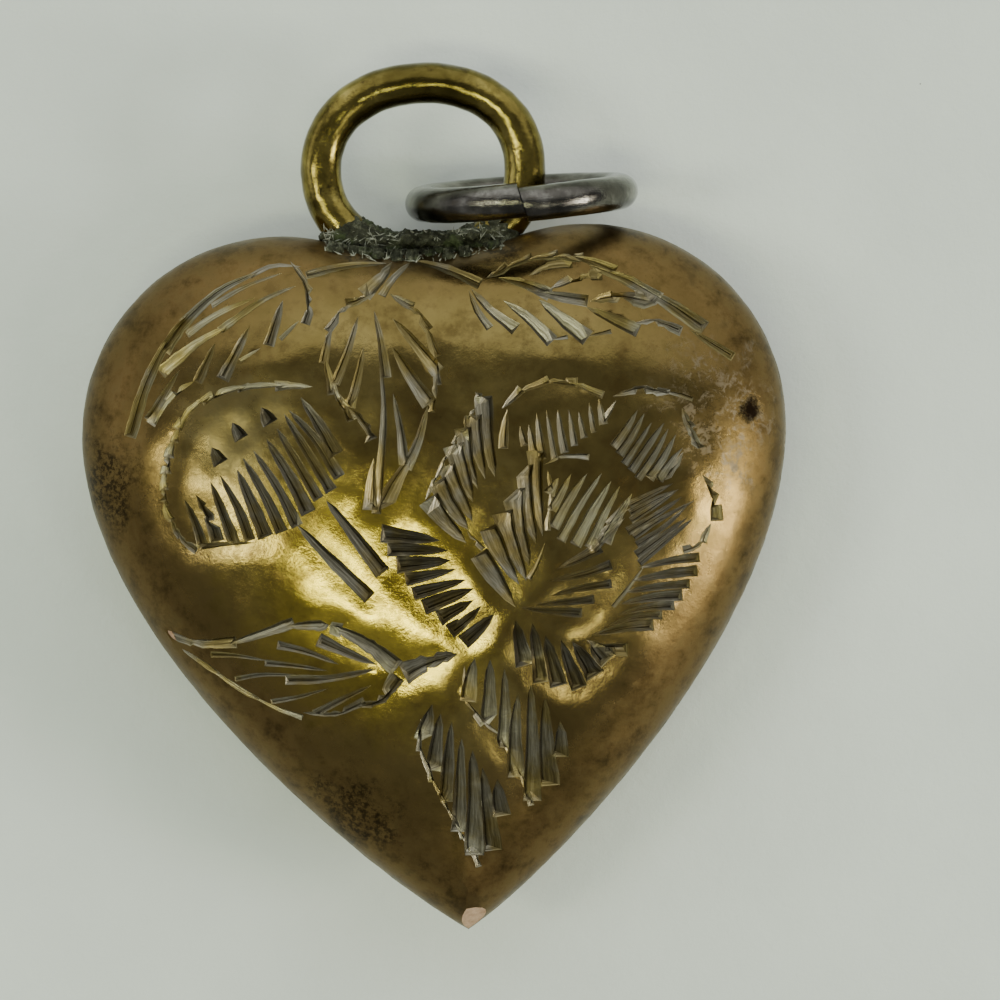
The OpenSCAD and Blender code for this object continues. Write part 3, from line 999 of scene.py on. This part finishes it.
def plain_brass():
    m = Shader("plain_brass")
    cloud = m.noise(3.0, 6, 0.62, 0.4)
    mottle = m.noise(0.5, 6, 0.7)
    rim = m.attribute("rim")
    colour = m.ramp(cloud, (0.32, "5c4318"), (0.5, "82652a"), (0.68, "9c7d35"))
    colour = m.mix(m.band(rim, 0.7, 1.0, 0, 0.8), colour,
                   m.ramp(mottle, (0.3, "3d2a14"), (0.7, "7a572b")))
    colour = m.mix(m.band(mottle, 0.55, 0.72, 0, 0.5), colour, "2c2110")
    height = m.take(m.add(mottle, m.noise(0.09, 4, 0.7)), m.times(scratches(m), 0.2))
    return m.finish(colour, m.band(cloud, 0.3, 0.7, 0.28, 0.46), height, 0.5, 0.02)


def seam_metal():
    m = Shader("seam_metal")
    mottle = m.noise(0.3, 6, 0.7)
    colour = m.ramp(mottle, (0.3, "3a352a"), (0.5, "77705f"), (0.72, "a8a395"))
    return m.finish(colour, m.band(mottle, 0.3, 0.7, 0.3, 0.5), mottle, 0.6, 0.02)


def bail_brass():
    m = Shader("bail_brass")
    cloud = m.noise(1.1, 6, 0.65, 0.5)
    grain = m.noise(0.08, 4, 0.7)
    colour = m.ramp(cloud, (0.3, "4e4420"), (0.5, "7a6d38"), (0.7, "a59656"))
    x, _, z = m.node("ShaderNodeSeparateXYZ", {"Vector": m.mm}).outputs
    # Darker across the middle of the bail, its top and foot, and plain on the two limbs.
    darker_middle = m.band(m.add(m.math("ABSOLUTE", x), m.noise(0.8, 4, 0.6)), 1.2, 3.0, 0.62, 0)
    colour = m.mix(darker_middle, colour, "373013")
    # Painted shade: the wire darkens towards its underside, below the middle of its height by the heart's
    # face.
    colour = m.mix(m.band(z, RIM_Z - 0.3, RIM_Z + 0.25, 0.7, 0), colour, "2e2412")
    colour = m.mix(m.band(m.noise(0.45, 6, 0.7), 0.54, 0.7, 0, 0.75), colour, "2a2010")
    colour = m.mix(m.band(grain, 0.6, 0.72, 0, 0.4), colour, "241b0c")
    height = m.take(m.add(m.noise(0.4, 6, 0.7), grain), m.times(scratches(m), 0.25))
    return m.finish(colour, m.band(cloud, 0.3, 0.7, 0.13, 0.06), height, 0.3, 0.02)


def rough_solder():
    m = Shader("rough_solder")
    mottle = m.noise(0.22, 8, 0.75)
    colour = m.ramp(mottle, (0.34, "17180f"), (0.52, "363829"), (0.64, "646655"),
                    (0.78, "aeaf9f"))
    colour = m.mix(m.band(m.noise(0.6, 5, 0.6), 0.5, 0.65, 0, 0.5), colour, "46552f")
    return m.finish(colour, m.band(mottle, 0.3, 0.7, 0.6, 0.38), m.add(mottle, m.noise(0.05, 4, 0.7)),
                    0.9, 0.04, metallic=0.7)


def pale_flux():
    m = Shader("pale_flux")
    mottle = m.noise(0.1, 5, 0.7)
    colour = m.ramp(mottle, (0.35, "5c5f50"), (0.65, "b4b6a8"))
    return m.finish(colour, m.band(mottle, 0.3, 0.7, 0.5, 0.35), mottle, 0.6, 0.02, metallic=0.5)


def ring_steel():
    m = Shader("ring_steel")
    cloud = m.noise(0.9, 5, 0.6)
    draw = m.noise(0.12, 4, 0.7, 0.0, m.stretched(0.3, 3, 0.3))
    colour = m.ramp(cloud, (0.3, "302e2b"), (0.5, "504d48"), (0.7, "807d77"))
    colour = m.mix(m.band(m.noise(0.3, 6, 0.7), 0.55, 0.7, 0, 0.7), colour, "3a352d")
    height = m.add(draw, m.times(m.noise(0.25, 5, 0.6), 1.5))
    return m.finish(colour, m.band(cloud, 0.3, 0.7, 0.1, 0.05), height, 0.35, 0.02)


def grey_paper():
    m = Shader("grey_paper")
    fibre = m.noise(0.5, 8, 0.7)
    cloud = m.noise(9.0, 4, 0.6)
    colour = m.ramp(cloud, (0.3, "cfd7d2"), (0.7, "dae2dd"))
    speck = m.band(m.noise(0.35, 2, 0.5), 0.79, 0.81)
    colour = m.mix(speck, colour, "6b6c68")
    return m.finish(colour, m.band(fibre, 0.3, 0.7, 0.75, 0.9), fibre, 0.35, 0.08, metallic=0)


# ------------ stage, light and camera

def floor(material):
    bpy.ops.mesh.primitive_plane_add(size=0.9)
    obj = bpy.context.object
    obj.name = "paper"
    obj.data.materials.append(material)
    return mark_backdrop(obj)


def softbox(name, off_vertical, toward, distance, width, height, power, colour=(1, 1, 1), along=0):
    """A rectangular light aimed at the heart. off_vertical is its angle from straight above, toward the
    direction that it leans to and along that of its width, both counter-clockwise from +X, in degrees."""
    light = bpy.data.lights.new(name, "AREA")
    light.shape = "RECTANGLE"
    light.size, light.size_y = width, height
    light.energy = power
    light.color = colour
    obj = bpy.data.objects.new(name, light)
    lean, turn = math.radians(off_vertical), math.radians(toward)
    way = Vector((math.sin(lean) * math.cos(turn), math.sin(lean) * math.sin(turn), math.cos(lean)))
    run = Vector((math.cos(math.radians(along)), math.sin(math.radians(along)), 0))
    run = (run - way * run.dot(way)).normalized()
    turned = Matrix((run, way.cross(run), way)).transposed().to_4x4()
    obj.matrix_world = Matrix.Translation(way * distance) @ turned
    bpy.context.scene.collection.objects.link(obj)


def lights():
    softbox("key", 15, -128, 0.42, 0.17, 0.045, 0.5, (0.94, 1.0, 0.62), along=-8)
    softbox("window", 36, -177, 0.42, 0.07, 0.12, 0.4, (0.97, 1.0, 0.78), along=90)
    softbox("low_right", 36, -40, 0.42, 0.05, 0.05, 0.1, (0.97, 1.0, 0.78), along=50)
    softbox("right", 64, -14, 0.42, 0.11, 0.15, 1.12, (1.0, 0.97, 0.84), along=76)
    softbox("back", 62, 80, 0.6, 1.4, 0.8, 4.2, (0.96, 1.0, 0.98))
    softbox("left", 72, 165, 0.6, 0.4, 0.2, 0.3, (0.96, 1.0, 1.0), along=75)
    world = bpy.data.worlds.new("studio")
    world.use_nodes = True
    world.node_tree.nodes["Background"].inputs["Color"].default_value = (0.80, 0.84, 0.82, 1)
    world.node_tree.nodes["Background"].inputs["Strength"].default_value = 0.44
    bpy.context.scene.world = world


def camera():
    """Straight above the face, turned a little, close enough for a little perspective."""
    height, view_mm, sensor = 140, 25.64, 36
    data = bpy.data.cameras.new("camera")
    data.sensor_width = sensor
    data.lens = sensor * (height - RIM_Z) / view_mm
    data.clip_start = 0.001
    obj = bpy.data.objects.new("camera", data)
    obj.location = Vector((1.616, -0.184, height)) * MM
    obj.rotation_euler = (0, 0, math.radians(-2.4))
    bpy.context.scene.collection.objects.link(obj)
    bpy.context.scene.camera = obj


# ------------ the pendant

def engrave():
    upper_left_leaf()
    centre_leaf()
    upper_right_leaf()
    round_bud()
    lower_left_leaf()
    flower()
    lower_leaves()


def place(obj, node, body):
    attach(obj, body)
    if node:
        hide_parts(node)


def pendant():
    engrave()
    brass, cut_faces, copper = engraved_brass(), cut_metal(), bare_copper()
    front = shell("engraved_front", engraved_face(), [brass, cut_faces, copper], 1, 1)
    file_tip(front, 2)
    place(front, "front_shell", "heart")
    cuts.clear()
    back = shell("plain_back", engraved_face(), [plain_brass()], -1, 4)
    place(back, "back_shell", "heart")
    place(seam_bead(seam_metal()), "rim_seam", "heart")
    place(bail(bail_brass()), "bail_ring", "heart")
    place(solder_lump(rough_solder()), "bail_solder", "heart")
    place(solder_flakes(pale_flux()), None, "heart")
    place(jump_ring(ring_steel()), "jump_ring", "ring")


pendant()
floor(grey_paper())
lights()
camera()


def numbers(box):
    return [[float(x) for x in corner] for corner in box]
